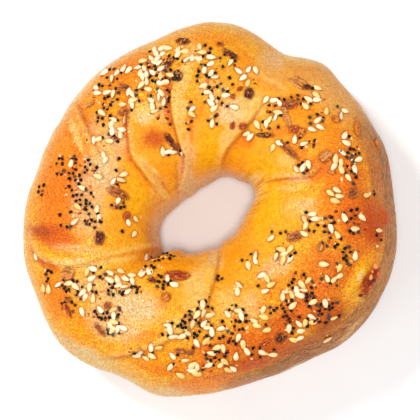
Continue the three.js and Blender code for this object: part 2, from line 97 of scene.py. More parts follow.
# Strokes of paint, one over the other: paint, x, y, half length, half width, turn, strength in percent
STROKES = [
    # left
    ("orange", -44, 15, 10, 22, -8, 90), ("flame", -46, 3, 7.5, 12, 0, 85), ("flame", -39, 8, 5, 9, 0, 55),
    ("flame", -40, 20, 2.4, 8, 24, 80), ("ember", -38, 28, 1.9, 7, 20, 75),
    ("sand", -41.6, 25, 1.3, 8.5, 22, 85), ("gold", -36, 36, 7, 6, 40, 60),
    ("orange", -43, 32, 3, 5, -30, 70), ("peach", -37, 2, 5, 11, 0, 60), ("peach", -33, 12, 5, 7, 20, 75),
    ("cream", -31, 12, 3.4, 4.6, 20, 80), ("peach", -34, 24, 4, 6, 20, 45), ("amber", -24, 4, 6, 14, 8, 90),
    # the tan and brown strokes by the hole's left edge are tan crust, partly darkened as painted shade
    ("gold", -21, -8, 7, 4, 0, 60), ("tan", -16.4, 3, 3, 9, -30, 55), ("brown", -18, -8, 3, 5, 0, 45),
    ("rust", -50, -7, 7.5, 3.2, -12, 85), ("ember", -46, -8.5, 7, 4, -24, 75),
    ("umber", -51.5, -6, 4, 1.5, -18, 45), ("peach", -39, -12, 8, 1.6, -8, 55),
    ("yellow", -22.6, 3, 4, 9, 10, 60), ("tan", -14.5, -4, 2.6, 6, 10, 90),
    # painted shade: a dark umber line in the crease at the hole's left tip
    ("umber", -18.5, -13, 4.4, 0.45, 4, 60),
    # upper left
    ("orange", -30, 38, 12, 9, 42, 55), ("flame", -27, 42, 6, 5, 40, 45), ("ember", -25.4, 27, 1.3, 8, 4, 85),
    ("ember", -25, 19, 1.7, 4.5, 10, 55), ("peach", -28.5, 21, 3, 6, 5, 70),
    ("sand", -20.5, 30, 4, 3.4, 0, 90), ("cream", -19.6, 28.4, 3, 1.6, 0, 60),
    ("orange", -17.5, 22, 6, 4.6, 0, 70), ("rust", -16.4, 21.8, 3.6, 3, -20, 80),
    ("peach", -14, 32, 2.2, 5, 0, 50), ("amber", -12.6, 12.6, 3.6, 5.4, 30, 85),
    ("sand", -18.2, 12.4, 5.2, 1.4, -48, 85), ("sand", -14.6, 5.6, 4.6, 1.3, -50, 80),
    ("ember", -16, 9.6, 6.5, 0.7, -48, 50), ("ember", -12.4, 33, 1.2, 9, 4, 80),
    ("ember", -12.6, 42, 1.6, 4, 10, 50), ("gold", -15, 49, 6, 5, 25, 60), ("flame", -22, 46, 6, 4, 30, 50),
    # top
    ("sand", -7, 43, 2.4, 10, -14, 85), ("sand", -8.6, 31, 2, 7, 4, 85), ("peach", -6.6, 14, 2.2, 8, -4, 90),
    ("cream", -6.2, 6.5, 2.6, 5, -10, 70), ("umber", 5, 9.6, 0.5, 1.5, -20, 60),
    ("brown", -9.6, 8, 0.7, 6, 4, 60), ("orange", -3.5, 29, 3, 5, -10, 70), ("amber", 0, 21, 5, 6.4, 0, 90),
    ("gold", -1, 13, 4, 3, 0, 70), ("yellow", 0.6, 17.5, 4.2, 7.5, 0, 90), ("peach", 1, 8.4, 6, 1.6, 27, 60),
    ("peach", 10, 9.8, 4.4, 1.2, -20, 70), ("flame", -5, 26, 1.1, 5, 0, 50), ("gold", 2, 40, 6, 6, 0, 70),
    ("sand", 1, 37, 4, 3, 0, 70), ("orange", 2, 52.4, 9, 3.4, 0, 75), ("gold", 5, 56.6, 9, 2.6, -12, 90),
    ("sand", 6, 58.8, 7, 1.5, -14, 90), ("orange", 11.5, 46, 3, 5, 20, 70), ("gold", 15, 49, 5, 3, -30, 80),
    ("tan", 20, 42, 5, 7, 30, 80), ("peach", 20, 45.6, 4, 3, -20, 50), ("sand", 28, 46.6, 6, 2.4, -18, 90),
    ("cream", 33, 45.6, 4.4, 1.4, -14, 85), ("brown", 31, 42.2, 5, 0.9, -8, 60),
    ("ember", 30, 40.6, 5, 1.6, -12, 40), ("cream", 8, 29.5, 5, 4, 20, 90), ("sand", 13, 31, 5, 4, 30, 85),
    ("sand", 6, 22, 1.8, 6, -16, 85), ("tan", 8.6, 24.6, 3, 1.5, 30, 40),
    ("flame", 11.4, 20, 3.4, 2.4, 50, 90), ("amber", 8, 14, 4, 5, -40, 85),
    # upper right
    ("tan", 33, 38, 8, 6, -30, 70), ("tan", 41, 32, 7, 8, 40, 85), ("flame", 26, 31, 6, 4, 0, 55),
    ("orange", 31, 24, 8, 6, 0, 60), ("gold", 20.6, 20, 3.4, 4.4, 40, 70),
    ("ember", 22, 22.8, 3.6, 2.4, 0, 50), ("ember", 27, 15.6, 3, 4, 30, 60),
    ("sand", 24, 13.6, 2.8, 2, -20, 70), ("ember", 33, 11, 4.4, 3.4, 30, 75),
    ("peach", 27.4, 8.4, 3.6, 1.5, 0, 80), ("sand", 24, 5.4, 7, 0.9, 3, 70), ("flame", 40, 16, 7, 9, 0, 60),
    # right of the hole
    ("yellow", 17, 1, 5.4, 15, 14, 95), ("yellow", 17, 9, 4.6, 6, 30, 70),
    ("amber", 8.6, -16, 5.6, 4, 30, 85), ("sand", 28.4, -0.6, 5, 3.4, 0, 80),
    ("peach", 29, 0.4, 3, 1.8, 10, 60), ("gold", 24, -7, 6, 5, 0, 60),
    # right
    ("flame", 40, 2, 7, 14, 0, 85), ("ember", 46, -6, 6, 13, 10, 85), ("rust", 50, -5, 4, 8, 6, 90),
    ("brown", 49, 22, 3.4, 8, 20, 70), ("ember", 46, 9, 4, 7, 0, 50),
    # lower right
    ("orange", 22, -24, 10, 7, 40, 70), ("peach", 20.5, -18, 5.4, 3, 35, 70),
    ("peach", 13, -29.5, 3.4, 4, 0, 55), ("ember", 36, -20, 7, 9, 30, 80), ("ember", 28, -31, 10, 5, 35, 85),
    ("rust", 36, -33, 8, 4.4, 40, 85), ("rust", 22, -36, 6, 3.4, 20, 70),
    ("umber", 38, -35.5, 6, 1.9, 42, 50), ("ember", 13, -41, 12, 5, 10, 85), ("rust", 21, -44, 9, 3, 20, 85),
    ("umber", 31, -41, 11, 2.6, 32, 50), ("ember", 0.5, -43.5, 6, 2.6, 0, 85),
    ("flame", -2, -48.5, 9, 3, -4, 80), ("rust", 12, -47.6, 7, 2.6, 10, 95),
    # middle below the hole
    ("yellow", 1, -18.6, 3.4, 4, 0, 70), ("sand", 3, -16.4, 2, 4, -10, 85),
    ("amber", 5.6, -21, 2, 7, -16, 90), ("sand", -3.4, -22, 3.4, 6, -20, 80),
    ("sand", -4, -29.6, 3.4, 5, -20, 60), ("amber", -10, -17.6, 8, 2.4, -4, 75),
    ("peach", 1.6, -15, 1.6, 4, -14, 70), ("sand", 6, -29, 3, 4.4, 20, 60),
    # lower left
    # the sand and cream strokes along the left fold are painted light over the shade below its lip
    ("gold", -28, -14.5, 17, 2.6, 4, 80), ("sand", -42, -16.6, 9, 1.5, -4, 90),
    ("cream", -40, -15.4, 6, 0.5, -4, 70), ("sand", -30, -15.6, 8, 1, 6, 70),
    ("ember", -50.6, -15.6, 7, 1.6, -34, 90), ("flame", -47, -26, 4.4, 8, 16, 75),
    ("orange", -39, -33, 8, 4, -44, 70), ("peach", -33, -24, 9, 4.4, -10, 50),
    ("cream", -22, -29.6, 7.4, 4.6, -14, 85), ("peach", -33, -32, 4.4, 4.4, 0, 60),
    ("flame", -14, -28.6, 3, 2.6, 20, 50), ("cream", -27, -36.8, 7, 3.4, -6, 60),
    ("flame", -19, -38.6, 8, 1.9, 10, 50), ("sand", -10.6, -36, 4.4, 1.7, 42, 60),
    ("amber", -39, -38.6, 5, 2.2, -44, 80), ("peach", -40, -43, 8, 2.2, -34, 80),
    ("cream", -36, -45, 5, 2, -30, 70), ("orange", -24, -44.6, 12, 1.5, 8, 80),
    ("amber", -15, -42.4, 5, 2, 20, 70), ("sand", -30, -47.4, 9, 1.8, -14, 70),
    ("orange", -16, -48, 10, 2.6, -4, 70), ("gold", -22, -52, 9, 3, -22, 80),
    ("flame", -2, -54, 12, 3, 4, 80), ("orange", -10, -44.6, 7, 3, 0, 70),
    ("flame", -14, -49.4, 7, 1.6, -8, 60), ("peach", -13, -56.8, 7, 1.5, 0, 80),
    ("sand", 6, -56.4, 9, 1.3, 6, 60),
]
# Strokes over the outer side too
SIDE_STROKES = [
    # the blister, with a painted highlight of cream on its crest
    ("gold", 43.4, -25, 4, 1.8, 62, 80), ("amber", 47, -18.2, 4.4, 2.2, 52, 95),
    ("yellow", 45.6, -21.6, 4.6, 1.5, 60, 95), ("cream", 45.6, -21.4, 1.8, 0.5, 62, 80),
    ("ember", 43.2, -19.4, 4, 0.9, 58, 80), ("ember", 49, -22.6, 5, 2.5, 60, 90),
    ("rust", 48.8, -23.4, 4, 2, 60, 90), ("umber", 48.8, -23.4, 3.6, 1.6, 60, 75),
    ("scorch", 50.6, -20.6, 1.2, 0.5, 30, 90), ("scorch", 49, -23.4, 1.3, 0.6, 75, 90),
    ("scorch", 47.4, -25.6, 1.1, 0.5, 50, 80), ("sand", 47.2, -29, 1.6, 0.5, 20, 70),
    # the scorched bump above it
    ("rust", 54.2, -4, 1.8, 3.4, 10, 90), ("rust", 51, -7, 3, 4.4, 10, 75),
    # the upper right corner and the rim at the lower right
    ("gold", 33, 46.4, 5, 1.6, -14, 70), ("cream", 26, -50.6, 4.4, 1, 24, 60),
    ("orange", -1, -55.6, 8, 2.2, 4, 80), ("dusk", 12, -54.4, 7, 2.4, 10, 80),
    ("rust", 6, -51, 7, 1.4, 8, 50), ("peach", 44, -38.6, 6, 0.9, 46, 50),
]
# Pale paints of the outer side, partly painted light on its rim: paint, strength, middle of its arc, width of
# its arc
RIM_PAINTS = [("straw", 0.8, 160, 62), ("straw", 0.75, 232, 28), ("blush", 0.85, 134, 24)]
# How flaky a place with a pale paint is; its pale flakes are partly painted sheen
FLAKY = {"cream": 1.0, "peach": 0.7, "sand": 0.4}
# White light that the gloss adds to every paint
GLOSS = 0.018

# Mottling of the crust: size, detail and roughness of its noise, two ends of it, the share at each, tint,
# whether it is grain
MOTTLES = [
    (1.5, 4, 0.65, 0.44, 0.66, 0, 0.7, (0.9, 0.7, 0.3), False),
    (1.2, 4, 0.65, 0.5, 0.66, 0, 0.6, (1.04, 1.12, 1.1), False),
    (0.6, 3, 0.6, 0.56, 0.65, 0, 0.85, (1.08, 1.42, 1.6), True),
    (0.8, 3, 0.6, 0.58, 0.65, 0, 1, (1.12, 1.65, 2.0), True),
    (0.72, 3, 0.6, 0.35, 0.42, 0.9, 0, (0.7, 0.42, 0.16), True),
    (0.46, 2, 0.6, 0.36, 0.47, 0.8, 0, (0.74, 0.48, 0.26), True),
    (0.46, 2, 0.6, 0.53, 0.64, 0, 1, (1.16, 1.5, 1.6), True),
]

# Blisters of crust: x, y, half length, half width, turn, height
BLISTERS = [
    (45.6, -21.4, 4.6, 1.8, 58, 1.1), (49.8, -22.2, 2.0, 1.6, 60, 0.9), (51.5, -20.2, 1.3, 1.0, 40, 0.7),
    (48.9, -24.3, 1.2, 0.8, 60, 0.6), (46.8, -27.5, 0.9, 0.6, 60, 0.4), (54.2, -4, 1.2, 2.4, 10, 0.5),
]

# Patches of seeds: x, y, half width, half height, sesame seeds, poppy seeds
SEED_PATCHES = [
    (-15.3, 48.7, 3.2, 2.8, 9, 2), (-7.4, 47.8, 3, 2.2, 5, 3), (-18.9, 44.3, 2.8, 2.6, 6, 5),
    (-14.5, 41.5, 3.2, 3, 5, 9), (-25.1, 44.7, 2.2, 1.5, 2, 0), (-30, 42.6, 2.5, 2.2, 3, 5),
    (-20.4, 39.2, 3.5, 2.2, 4, 2), (-31.5, 37, 3.6, 3, 4, 6), (-24.7, 34, 3.4, 3, 5, 4),
    (-31.9, 33.2, 2.6, 1.8, 0, 5), (-14.8, 33.6, 3.2, 4.2, 6, 8), (-32.8, 29.8, 2.4, 3, 1, 7),
    (-28.1, 25.5, 3.4, 2.8, 6, 3), (-31.5, 22.1, 5, 1.4, 3, 2), (-30.6, 16.6, 3, 1.5, 2, 1),
    (-12.3, 26.8, 0.8, 0.8, 0, 1), (-5.5, 28.5, 1, 4, 2, 4),
    # left
    (-37.5, 13.8, 1.6, 2, 0, 5), (-46.6, 14.2, 2.2, 3, 0, 7), (-41.3, 15.3, 1.6, 2, 1, 4),
    (-41.5, 8.9, 2.2, 4.2, 0, 13), (-34.7, 11, 1.4, 2, 1, 2), (-27.6, 9.6, 2, 2.8, 3, 2),
    (-27.6, 1.6, 2, 1, 1, 5), (-51.9, 5.7, 1.8, 2.4, 0, 4), (-38.5, 3.4, 2.6, 3.2, 2, 10),
    (-11, 17.6, 3.2, 1, 4, 2), (-43.4, -3.1, 3.4, 3, 1, 5), (-35.5, -2.3, 2.4, 3.2, 2, 10),
    (-24.2, -5, 2.8, 2.8, 3, 1),
    # top
    (-1.1, 46.8, 2.4, 4, 6, 6), (-0.4, 40.4, 3, 2.6, 3, 6), (6, 46, 2.2, 2.8, 1, 5), (12.1, 40.9, 3, 3, 5, 0),
    (7.5, 37.5, 5, 2.2, 0, 5), (2.1, 34.5, 3.6, 2.8, 4, 6), (5.1, 31.3, 3.6, 1.2, 2, 2),
    (1.3, 26.8, 2, 1.6, 1, 3),
    # top right
    (20, 32.1, 2.4, 1.2, 3, 3), (18.7, 26.4, 3.4, 3.2, 5, 5), (11.9, 22.1, 1.8, 0.6, 2, 0),
    (21.3, 17.5, 1.6, 3, 2, 0), (28.5, 32, 5.4, 1.6, 3, 8), (32.5, 35, 2, 2, 2, 1),
    (37.9, 28.7, 4.2, 1.6, 3, 1), (33.2, 25, 2.4, 3, 3, 5), (28.5, 19.4, 3.8, 1.5, 2, 5),
    (29, 11.7, 2, 1.8, 3, 4), (42.2, 19.8, 1.4, 1.6, 2, 1), (44.3, 14.9, 2, 2.2, 1, 9),
    (40.9, 12.3, 2.6, 3.6, 5, 4), (44.7, 8.9, 2, 2.6, 2, 3), (38.3, 2.4, 1.4, 3, 4, 0), (49, 3, 3, 1, 1, 1),
    # lower left
    (-49.8, -19.7, 1.4, 1.4, 0, 4), (-50.2, -23.6, 0.9, 2, 2, 1), (-53.9, -14.2, 0.5, 0.5, 1, 0),
    (-34, -19.1, 3.6, 1.6, 4, 4), (-43, -22.7, 3, 1.8, 3, 10), (-36.6, -25.3, 3.8, 2.2, 4, 6),
    (-40.9, -29.5, 4, 2, 1, 5), (-26.4, -21.4, 4.2, 2.2, 7, 2), (-26.4, -24.6, 5.2, 1.4, 2, 12),
    (-17, -16.3, 3, 2, 1, 8), (-19.6, -19.3, 2.2, 1, 4, 2), (-14, -15, 3.4, 0.8, 0, 6),
    (-13.4, -22.3, 3, 2, 2, 9), (-30.6, -31.2, 3.6, 2, 3, 12), (-28.5, -35.5, 2.6, 2.4, 5, 6),
    # bottom
    (-10.6, -37.2, 3.2, 2.4, 4, 5), (-5.1, -35.5, 2.4, 4, 3, 15), (-1.2, -32.5, 2.6, 4, 5, 7),
    (-2.1, -40.2, 3.4, 2.6, 2, 4), (-18.7, -43.6, 4, 2.4, 6, 2), (-8.9, -47.4, 3, 3, 4, 2),
    (-3.8, -49.1, 2, 1.8, 4, 2), (0.5, -46.1, 1.6, 2, 2, 5), (2.8, -21.9, 1.4, 1, 0, 3),
    (7.9, -34.2, 3.4, 4, 3, 14), (9.4, -24.6, 1, 1, 2, 0), (2.1, -36.8, 3, 3.6, 2, 3),
    (2.1, -44.4, 3.2, 2, 2, 5), (8.1, -41.9, 2.6, 3, 3, 3), (5.4, -48.7, 4, 1.8, 4, 0),
    # lower right
    (15.3, -35.9, 2.4, 4, 4, 1), (17.4, -24, 3, 3, 4, 1), (18.3, -31.2, 2.4, 1.2, 1, 4),
    (14, -16.3, 3.4, 1.8, 3, 2), (15.7, -43.8, 4.4, 1.6, 3, 5), (26.4, -38, 2.2, 2.6, 4, 2),
    (24.7, -32.5, 2.6, 2.6, 1, 9), (23.4, -27.8, 2.2, 1.8, 3, 2), (29.4, -35.1, 2.4, 1.2, 3, 3),
    (28, -23.8, 3.6, 2.8, 5, 8), (30.7, -28.2, 1.4, 2.4, 1, 6), (37, -21, 3, 4, 5, 4),
    (35.5, -30.2, 3.4, 1.6, 1, 9), (33.5, -34, 3, 1.6, 1, 7), (39.2, -33, 1.4, 1.6, 1, 1),
    (36.4, -40.6, 0.6, 0.6, 1, 0),
    # right
    (42.4, -15, 2.2, 3, 1, 8), (37, -10.8, 3.2, 2, 1, 6), (23, -14.2, 3, 2.2, 6, 3),
    (21.3, -9.5, 2.4, 3, 1, 3), (29.8, -5.4, 3, 3, 5, 5), (36.2, -5.7, 1.8, 2.4, 1, 7),
    (43.6, -5, 3.2, 3.4, 3, 9), (52, -9.5, 0.8, 3, 1, 2),
]
SESAME_LENGTH, SESAME_WIDTH, SESAME_THICK, SESAME_TAPER, SESAME_GAP = 2.8, 1.7, 1.1, 0.28, 1.5
# Sesame paints: ivory, toasted, and the edge, which is painted shade low round each seed
SESAME_PAINTS = ((255, 244, 214), (253, 206, 116), (204, 116, 40))
POPPY_WIDTH, POPPY_GAP, POPPY_FOOT = 1.1, 1.0, 0.65
POPPY_PAINTS = [(9, 9, 10), (12, 12, 14), (62, 66, 68), (26, 14, 10), (10, 10, 12)]
# Painted shade of the crust at the foot of each: how dark it is, and how many times as far as its foot it
# reaches
FLAKE_SHADE, SESAME_SHADE, POPPY_SHADE, SHADE_REACH = 0.75, 0.6, 0.5, 1.5
# How often a seed's place is tried, and how far out of its patch
PLACE_TRIES, PLACE_REACH = 14, 1.15

# Numbers of the rule that draws the seeds' places, and where each of the other draws starts
DRAW_FACTOR, DRAW_MODULUS, PATCH_DRAW = 48271, 2147483647, 7919
SESAME_DRAW, POPPY_DRAW, FLAKE_DRAW, CRUMB_DRAW = 11, 12, 13, 14

# Flakes of dried onion and crust: x, y, turn, length, width, kind, curl
FLAKES = [
    (-7.7, 52.2, -30, 4.4, 2.5, "dark", 0.9), (-12.4, 45.2, 45, 4.3, 2.4, "dark", 0.5),
    (-9.6, 41.1, 70, 3.6, 3, "char", 0.4), (-26.5, 38.3, -15, 2.9, 2, "brown", 0.4),
    (-26.2, 30.4, -5, 3.4, 2.1, "brown", 0.3), (-37, 33.3, 20, 3.4, 1.6, "tan", 0.3),
    (-11.8, 21, -56, 5.2, 1.8, "dark", 0.6), (-9.7, 18.8, 20, 2.6, 2, "brown", 0.4),
    (-27.7, 5.1, -22, 6.4, 2.6, "brown", 0.3), (6.9, 47.7, -37, 5.3, 2, "dark", 0.6),
    (3.8, 50.9, -15, 2, 1.3, "brown", 0.3), (12.6, 34.9, 80, 3.4, 2.8, "dark", 0.2),
    (9.8, 36.4, 30, 2, 1.1, "red", 0.4), (7.9, 34.1, 75, 1.9, 1, "red", 0.4),
    (7.7, 25.3, 80, 2.4, 1.5, "red", 0.3), (10.9, 24.9, 10, 2.4, 2, "red", 0.3),
    (27, 37.5, -42, 4.5, 1.4, "tan", 0.3), (28.7, 38.5, -42, 4.2, 1.4, "tan", 0.3),
    (30.4, 36.4, 15, 2.6, 1.8, "dark", 0.3), (25.1, 31.1, 5, 4.2, 2.9, "brown", 0.4),
    (23.9, 27.3, -70, 8.2, 1.7, "tan", 0.3), (26.6, 23.4, 20, 2.8, 2.2, "red", 0.3),
    (28.5, 22.3, 60, 2.6, 2.2, "amber", 0.8), (17.4, 21.9, -5, 5.3, 1.6, "dark", 0.4),
    (24.5, 17, -42, 7.4, 1.9, "brown", 0.3), (35.6, 14.7, 35, 3.8, 3.2, "tan", 0.4),
    (46, 23.4, 70, 5.2, 2.3, "amber", 1.0), (39.2, 26.2, 10, 2.6, 2.1, "amber", 0.4),
    (37.5, 10, -10, 2.6, 1.5, "amber", 0.3), (52.2, 18.7, 80, 3, 1.8, "amber", 0.4),
    (43.8, 3.5, 30, 3.4, 2.8, "brown", 0.4), (-25.3, -2, 80, 2.6, 2.4, "red", 0.3),
    (-33.4, -8.6, 75, 4, 2.8, "dark", 0.3), (-43.2, -19.3, 20, 3.8, 3.5, "tan", 0.3),
    (-43, -27.1, 0, 2.4, 1.6, "brown", 0.3), (-43, -30.6, -65, 4.6, 1.4, "red", 0.4),
    (-32.8, -36.5, -58, 4.8, 1.7, "brown", 0.4), (-30.6, -29.1, 50, 2.4, 2, "brown", 0.3),
    (-9.4, -20.8, 3, 6.8, 3.4, "red", 0.3), (-17, -21.8, -15, 2.8, 1.5, "dark", 0.5),
    (-12.7, -27, 45, 2.8, 2.6, "amber", 0.7), (-8.1, -43.3, -10, 3.6, 1.6, "brown", 0.4),
    (-5.3, -43.8, 5, 2.4, 1.4, "brown", 0.4), (26.4, -9.3, 15, 4.8, 2.4, "brown", 0.3),
    (33.9, -12.7, 80, 2.6, 1.7, "tan", 0.4), (21.9, -39.9, 60, 3.6, 3.1, "dark", 0.4),
    (17.4, -41.2, 30, 3.4, 1.6, "red", 0.4),
]
FLAKE_TOP = 0.66
FLAKE_CORNERS, FLAKE_RINGS, FLAKE_AROUND = 5, 7, 35
# Each kind's body, stripes and edge
FLAKE_PAINTS = {
    "char": ((44, 20, 12), (22, 12, 10), (104, 58, 40)), "dark": ((106, 42, 18), (50, 16, 8), (170, 84, 34)),
    "brown": ((178, 96, 40), (108, 46, 14), (216, 138, 70)),
    "red": ((188, 72, 18), (124, 34, 6), (226, 120, 44)),
    "tan": ((226, 150, 76), (178, 94, 36), (246, 188, 116)),
    "amber": ((240, 150, 48), (200, 92, 14), (206, 96, 18)),
}

# Crumbs: how many for each seed, their width, how far out of a patch they lie, and their colours
CRUMB_SHARE, CRUMB_WIDTH, CRUMB_REACH = 0.9, 0.9, 1.5
CRUMB_PAINTS = [(255, 214, 150), (250, 176, 90), (232, 120, 40), (190, 80, 24), (120, 50, 20)]

# Knobs of scorched crust in the open blister
KNOBS = [(50.9, -18.9), (49.7, -20.3), (51.2, -21.1), (48.9, -22), (50.1, -23.1), (47.8, -23.6),
         (48.9, -24.9), (46.8, -25.3), (47.8, -26.9), (46.2, -27.5)]
KNOB_WIDTH = 1.9
KNOB_PAINTS = [(204, 100, 44), (160, 64, 24), (96, 34, 16), (236, 156, 84)]

# How wide the bark of the side shows beside the top crust, and where it is wider
BARK_WIDTH, BARK_LOBES = 4.0, [(-36, 2.2, 22)]
# The darker band inside it, browner skin and partly painted shade, and where it shows
DUSK_WIDTH, DUSK_LOBES = 7.6, [(12, 1, 22), (-53, 1, 20)]

# How finely the dough is made: turns, rows over the top and under the base, and the lifts of the top
TURNS = 540
TOP_ROWS, BASE_ROWS = 160, 24
TOP_FROM, TOP_TO = -35.0, 215.0
# The lift that the outer side reaches to, above and below
SIDE_END = 100
# Rounds that find what a sight line meets, and how near the rims
SIGHT_ROUNDS, SIGHT_SHARE = 8, 0.97

# The camera looks down from a little to the front right
CAMERA_SIDE, CAMERA_RISE = 45.0, 78.0
CAMERA_LENS, SENSOR = 150.0, 36.0
PICTURE_WIDTH = 131.8
LOOK_AT = (0.6, -0.65, 17.0)

# Lamps: name, place and size in metres, power, colour
LIGHTS = [("key", (-0.5, 0.45, 0.8), 0.2, 5.2, (1.0, 0.99, 0.97)),
          ("overhead", (0.16, -0.2, 1.15), 0.24, 8.0, (1, 1, 1)),
          ("left", (-0.75, -0.65, 0.6), 0.6, 2.4, (1, 1, 1)),
          ("right", (0.85, -0.45, 0.55), 0.6, 2.6, (1, 1, 1))]
WORLD_LIGHT = 0.2
FLOOR_HALF = 1500.0


def linear(colour):
    """An 8-bit screen colour as linear light."""
    shares = np.asarray(colour, float) / 255
    return np.where(shares <= 0.04045, shares / 12.92, ((shares + 0.055) / 1.055) ** 2.4)


def smooth_step(low, high, value):
    share = np.clip((value - low) / (high - low), 0, 1)
    return share * share * (3 - 2 * share)


def signed_power(value, power):
    return np.sign(value) * np.abs(value) ** power


def away_from(angle, middle):
    """Difference of two angles in degrees, from -180 to 180."""
    return (angle - middle + 180) % 360 - 180


def direction(angle):
    """The cosine and sine of an angle in degrees."""
    return np.cos(np.radians(angle)), np.sin(np.radians(angle))


def bell(angle, middle, width):
    """1 at the middle angle, falling over a width to either side."""
    return np.exp(-(away_from(angle, middle) / width) ** 2)


def lobes_at(lobes, angle):
    return sum(out * bell(angle, at, width) for at, out, width in lobes)


def rim_radius(angle):
    return RIM_RADIUS + lobes_at(RIM_LOBES, angle)


def hole_radius(angle):
    c, s = direction(angle - HOLE_TURN)
    return HOLE_LONG * HOLE_SHORT / np.hypot(HOLE_SHORT * c, HOLE_LONG * s) + lobes_at(HOLE_LOBES, angle)


def top_rise(angle):
    return HEIGHT - WIDEST_HEIGHT + lobes_at(TOP_DIPS, angle)


def plain_skin(turn, lift):
    """Points of the ring without its relief, and the directions out of it."""
    rim, hole = rim_radius(turn), hole_radius(turn)
    half = (rim - hole) / 2
    cosine, sine = direction(lift)
    roundness = np.where(sine >= 0, TOP_ROUNDNESS, BASE_ROUNDNESS)
    tall = np.where(sine >= 0, top_rise(turn), WIDEST_HEIGHT + BASE_CUT)
    across = signed_power(cosine, 2 / roundness)
    up = signed_power(sine, 2 / roundness)
    slope_out = signed_power(across, roundness - 1) / half
    slope_up = signed_power(up, roundness - 1) / tall
    slope = np.hypot(slope_out, slope_up)
    radius = (rim + hole) / 2 + half * across
    out_x, out_y = direction(turn)
    points = np.stack([RING_CENTRE[0] + radius * out_x, RING_CENTRE[1] + radius * out_y,
                       WIDEST_HEIGHT + tall * up], axis=-1)
    outward = np.stack([slope_out * out_x / slope, slope_out * out_y / slope, slope_up / slope], axis=-1)
    return points, outward


def smooth_route(route):
    """A curve through the route's points, as short straight pieces."""
    points = np.array(route, float)
    padded = np.vstack([2 * points[0] - points[1], points, 2 * points[-1] - points[-2]])
    line = []
    for step in range(FOLD_STEPS + 1):
        place = step / FOLD_STEPS * (len(points) - 1)
        i = min(int(place), len(points) - 2)
        t = place - i
        a, b, c, d = padded[i:i + 4]
        bend = (2 * a - 5 * b + 4 * c - d) * t ** 2 + (3 * b - a - 3 * c + d) * t ** 3
        line.append(b + 0.5 * ((c - a) * t + bend))
    return line


def beside(line, x, y):
    """How far points lie from a line, positive on its left, and how far along it."""
    best = np.full(x.shape, np.inf)
    side = np.ones(x.shape)
    along = np.zeros(x.shape)
    for i, (start, end) in enumerate(zip(line, line[1:])):
        run = end - start
        share = np.clip(((x - start[0]) * run[0] + (y - start[1]) * run[1]) / (run @ run), 0, 1)
        off_x = x - start[0] - share * run[0]
        off_y = y - start[1] - share * run[1]
        distance = np.hypot(off_x, off_y)
        nearer = distance < best
        best = np.where(nearer, distance, best)
        side = np.where(nearer, np.where(run[0] * off_y - run[1] * off_x >= 0, 1, -1), side)
        along = np.where(nearer, (i + share) / (len(line) - 1), along)
    return best * side, along


def fold_relief(x, y):
    """Height of the folds at places as seen, and how far each place is a lip that takes painted highlight or
    a crease that takes painted shade.
    """
    height, lip_highlight, crease_shade = np.zeros((3, *x.shape))
    for lip, dip, reach, fade, edge, route in FOLDS:
        distance, along = beside(smooth_route(route), x, y)
        d = distance * math.copysign(1, reach)
        reach = abs(reach)
        over = 0.5 * (1 + np.tanh(d / edge))
        ends = smooth_step(0, fade, along) * smooth_step(0, fade, 1 - along)
        raised = lip * over * np.exp(-np.maximum(d, 0) / reach)
        sunk = dip * (1 - over) * np.exp(np.minimum(d, 0) / (0.5 * reach))
        height += (raised - sunk) * ends
        lip_highlight = np.maximum(lip_highlight, min(lip, 1) * ends * np.exp(-((d - 1.0) / 0.9) ** 2))
        crease_shade = np.maximum(crease_shade, min(dip, 1) * ends * np.exp(-((d + 0.25) / 0.5) ** 2))
    return height, lip_highlight, crease_shade


def noise_at(points, size, shift=0):
    """Smooth noise from -1 to 1 whose bumps are about that size."""
    return np.array([noise.noise(Vector(p)) for p in (points / size + shift).tolist()])


def oval_share(x, y, middle_x, middle_y, half_length, half_width, turn):
    """1 in the middle of an oval, falling to little past its edge."""
    c, s = direction(turn)
    along = ((x - middle_x) * c + (y - middle_y) * s) / half_length
    across = ((y - middle_y) * c - (x - middle_x) * s) / half_width
    return np.exp(-(along ** 2 + across ** 2) ** 2)


def side_band(x, y, lift, width, lobes):
    """The outer side below the edge of the top crust, told by how near the rim a place is seen."""
    angle = np.degrees(np.arctan2(y - RING_CENTRE[1], x - RING_CENTRE[0]))
    inside = rim_radius(angle) - np.hypot(x - RING_CENTRE[0], y - RING_CENTRE[1])
    above = away_from(lift, 0)
    width = width + lobes_at(lobes, angle)
    band = np.where(above > 0, smooth_step(width + 0.5, width - 0.5, inside), 1.0)
    right = smooth_step(64, 42, np.abs(away_from(angle, -28)))
    return band * (np.abs(above) < SIDE_END) * right


def side_share(turn, lift):
    """Where the outer side shows its long wrinkles: most at the right and lower right."""
    return (0.35 + 0.65 * bell(turn, -18, 52)) * bell(lift, -8, 27)


def side_wrinkles(turn, lift):
    """Ridges that run along the side of the ring."""
    c, s = direction(turn)
    rows = np.stack([c * 8, s * 8, away_from(lift, 0) / 4.2], axis=-1)
    fine = noise_at(rows, 1) + 0.5 * noise_at(rows * (1.6, 1.6, 2.1), 1.0, 7.0)
    return 1 - 2 * np.abs(fine)


